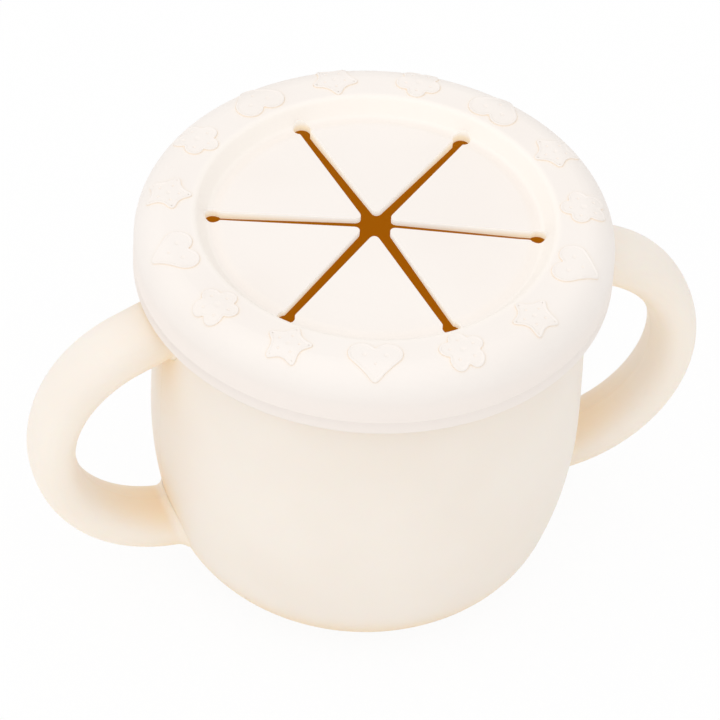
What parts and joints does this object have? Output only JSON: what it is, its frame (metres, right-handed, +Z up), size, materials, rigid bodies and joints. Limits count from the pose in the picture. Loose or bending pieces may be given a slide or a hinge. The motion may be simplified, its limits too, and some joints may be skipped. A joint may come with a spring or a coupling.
{
  "type": "toddler snack container",
  "caption": "Two-handled soft cup for a toddler's snacks, with a press-on lid whose thin disc is slit into flaps that let a hand in and keep the food from spilling.",
  "frame": {"origin": "centre of the flat base, on the surface the cup stands on", "axes": "+Z up, +X towards the right handle, so the two handles lie along X"},
  "size_m": [0.1336, 0.09, 0.0821],
  "materials": {
    "cup_silicone": "soft matt cream silicone",
    "lid_silicone": "soft matt cream silicone"
  },
  "bodies": {
    "cup": {"cup_body": "cup_silicone", "left_handle": "cup_silicone", "right_handle": "cup_silicone"},
    "lid": {"lid_rim": "lid_silicone"},
    "flap_1": {"flap_1": "lid_silicone"},
    "flap_2": {"flap_2": "lid_silicone"},
    "flap_3": {"flap_3": "lid_silicone"},
    "flap_4": {"flap_4": "lid_silicone"},
    "flap_5": {"flap_5": "lid_silicone"},
    "flap_6": {"flap_6": "lid_silicone"}
  },
  "joints": [
    {"name": "lid_lift", "type": "slide", "parent": "cup", "child": "lid", "axis": [0, 0, 1], "range_m": [0, 0.04]},
    {"name": "flap_1_bend", "type": "hinge", "parent": "lid", "child": "flap_1", "pos_m": [0.00833, 0.02228, 0.07875], "axis": [-0.9367, 0.3502, 0], "range_deg": [-70, 60], "stiffness_Nm_per_rad": 0.002},
    {"name": "flap_2_bend", "type": "hinge", "parent": "lid", "child": "flap_2", "pos_m": [-0.01513, 0.01836, 0.07875], "axis": [-0.7716, -0.6361, 0], "range_deg": [-70, 60], "stiffness_Nm_per_rad": 0.002},
    {"name": "flap_3_bend", "type": "hinge", "parent": "lid", "child": "flap_3", "pos_m": [-0.02346, -0.00393, 0.07875], "axis": [0.165, -0.9863, 0], "range_deg": [-70, 60], "stiffness_Nm_per_rad": 0.002},
    {"name": "flap_4_bend", "type": "hinge", "parent": "lid", "child": "flap_4", "pos_m": [-0.00833, -0.02228, 0.07875], "axis": [0.9367, -0.3502, 0], "range_deg": [-70, 60], "stiffness_Nm_per_rad": 0.002},
    {"name": "flap_5_bend", "type": "hinge", "parent": "lid", "child": "flap_5", "pos_m": [0.01513, -0.01836, 0.07875], "axis": [0.7716, 0.6361, 0], "range_deg": [-70, 60], "stiffness_Nm_per_rad": 0.002},
    {"name": "flap_6_bend", "type": "hinge", "parent": "lid", "child": "flap_6", "pos_m": [0.02346, 0.00393, 0.07875], "axis": [-0.165, 0.9863, 0], "range_deg": [-70, 60], "stiffness_Nm_per_rad": 0.002}
  ]
}
